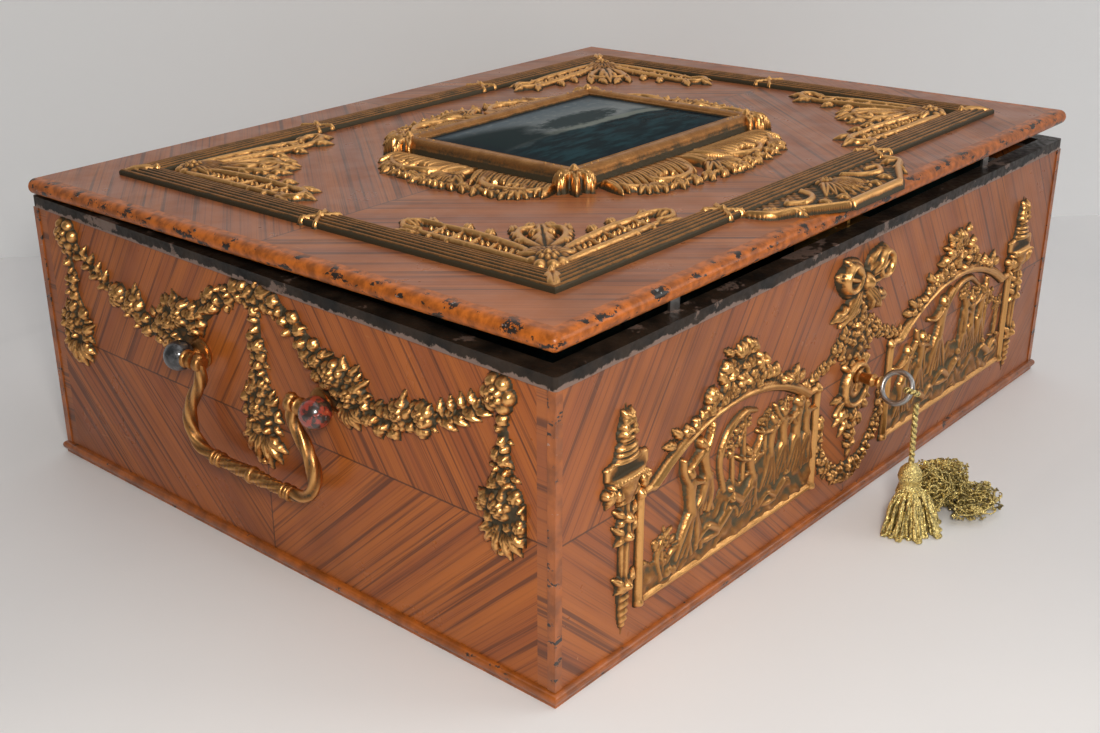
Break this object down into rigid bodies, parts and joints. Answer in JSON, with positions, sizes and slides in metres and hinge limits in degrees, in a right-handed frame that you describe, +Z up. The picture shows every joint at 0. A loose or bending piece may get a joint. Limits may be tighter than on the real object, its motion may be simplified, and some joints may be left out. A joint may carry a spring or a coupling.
{
  "type": "wind up music box",
  "caption": "Rectangular veneered casket with gilt mounts, a hinged lid with an enamel plaque, end handles, a key with a tassel and a cylinder music movement inside.",
  "frame": {"origin": "centre of the case's underside, on the surface it stands on", "axes": "+X along the front to the right, +Y to the back, +Z up; the front with the key faces -Y"},
  "size_m": [0.3654, 0.3252, 0.1283],
  "materials": {
    "veneer": "quarter-matched striped veneer under worn varnish",
    "plain_wood": "planed softwood, thin shellac",
    "edge_lacquer": "orange lacquer chipped to dark metal",
    "rim_metal": "dark patinated metal, worn bright on its edges",
    "gilt_bronze": "gilt cast bronze with brown patina in the hollows",
    "dark_bronze": "dark olive bronze, lightly rubbed",
    "brass": "brushed brass",
    "steel": "grey steel, rubbed",
    "lining_silk": "dark teal silk velvet",
    "gold_thread": "twisted metallic gold thread",
    "enamel": "painted enamel, glossy",
    "glass": "clear sheet glass"
  },
  "bodies": {
    "root": {"front_wall": "veneer", "back_wall": "veneer", "left_wall": "veneer", "right_wall": "veneer", "base_board": "plain_wood", "base_moulding": "edge_lacquer", "top_rim": "rim_metal", "corner_edgings": "edge_lacquer", "lid_guides": "steel", "case_hinge_leaves": "brass", "hinge_pins": "brass", "hinge_screws": "steel", "compartment_wall": "plain_wood", "well_lining": "lining_silk", "well_cushion": "lining_silk", "front_panel_left": "gilt_bronze", "front_panel_right": "gilt_bronze", "front_relief_left": "gilt_bronze", "front_relief_right": "gilt_bronze", "torch_mounts": "gilt_bronze", "ribbon_bow": "gilt_bronze", "laurel_swag": "gilt_bronze", "escutcheon": "gilt_bronze", "end_garland_left": "gilt_bronze", "end_garland_right": "gilt_bronze", "handle_posts": "rim_metal", "lock_case": "brass", "key_cord": "gold_thread", "tassel": "gold_thread", "bedplate": "brass", "bearing_bridges": "brass", "comb": "steel", "comb_screws": "steel", "barrel_arbor": "steel", "ratchet_click": "steel", "governor_frame": "brass", "cover_frame": "plain_wood", "cover_glass": "glass"},
    "lid": {"lid_panel": "veneer", "lid_lining": "lining_silk", "lid_moulding": "dark_bronze", "lid_ties": "dark_bronze", "lid_corner_mounts": "gilt_bronze", "plaque_frame": "gilt_bronze", "plaque_scrolls": "gilt_bronze", "plaque": "enamel", "lid_tab": "gilt_bronze", "lid_hinge_leaves": "brass", "lock_strike": "brass"},
    "left_handle": {"bail_left": "gilt_bronze"},
    "right_handle": {"bail_right": "gilt_bronze"},
    "turning_key": {"key": "steel", "cord_loop": "gold_thread"},
    "bolt": {"lock_bolt": "steel"},
    "cylinder": {"pinned_cylinder": "brass"},
    "barrel": {"spring_barrel": "brass"},
    "wind_lever": {"winding_lever": "steel"},
    "governor": {"governor_wheel": "brass"},
    "fly_arbor": {"fly": "steel"},
    "stopper": {"stop_lever": "steel"}
  },
  "joints": [
    {"name": "lid_hinge", "type": "hinge", "parent": "root", "child": "lid", "pos_m": [0, 0.1352, 0.1102], "axis": [-1, 0, 0], "range_deg": [-1.4, 95]},
    {"name": "left_handle_swing", "type": "hinge", "parent": "root", "child": "left_handle", "pos_m": [-0.177, 0, 0.072], "axis": [0, 1, 0], "range_deg": [0, 110]},
    {"name": "right_handle_swing", "type": "hinge", "parent": "root", "child": "right_handle", "pos_m": [0.177, 0, 0.072], "axis": [0, -1, 0], "range_deg": [0, 110]},
    {"name": "key_turn", "type": "hinge", "parent": "root", "child": "turning_key", "pos_m": [0, -0.15, 0.054], "axis": [0, 1, 0], "range_deg": [0, 180]},
    {"name": "bolt_slide", "type": "slide", "parent": "root", "child": "bolt", "axis": [1, 0, 0], "range_m": [0, 0.005]},
    {"name": "cylinder_turn", "type": "hinge", "parent": "root", "child": "cylinder", "pos_m": [0, 0.08, 0.041], "axis": [1, 0, 0], "continuous": true},
    {"name": "barrel_turn", "type": "hinge", "parent": "root", "child": "barrel", "pos_m": [-0.08, 0.0544, 0.041], "axis": [1, 0, 0], "continuous": true},
    {"name": "governor_turn", "type": "hinge", "parent": "root", "child": "governor", "pos_m": [0.08, 0.06, 0.041], "axis": [1, 0, 0], "continuous": true},
    {"name": "fly_turn", "type": "hinge", "parent": "root", "child": "fly_arbor", "pos_m": [0.089, 0.04965, 0.041], "axis": [0, 0, 1], "continuous": true},
    {"name": "winding_lever_swing", "type": "hinge", "parent": "root", "child": "wind_lever", "pos_m": [-0.115, 0.0544, 0.041], "axis": [1, 0, 0], "range_deg": [0, 60]},
    {"name": "stop_lever_turn", "type": "hinge", "parent": "root", "child": "stopper", "pos_m": [0.122, 0.04965, 0.061], "axis": [0, 0, 1], "range_deg": [0, 20]}
  ],
  "couplings": [
    {"joint": "key_turn", "follows": "bolt_slide", "rad_per_m": 628.32},
    {"joint": "barrel_turn", "follows": "cylinder_turn", "ratio": -0.33333},
    {"joint": "governor_turn", "follows": "cylinder_turn", "ratio": -4},
    {"joint": "fly_turn", "follows": "cylinder_turn", "ratio": -120}
  ]
}
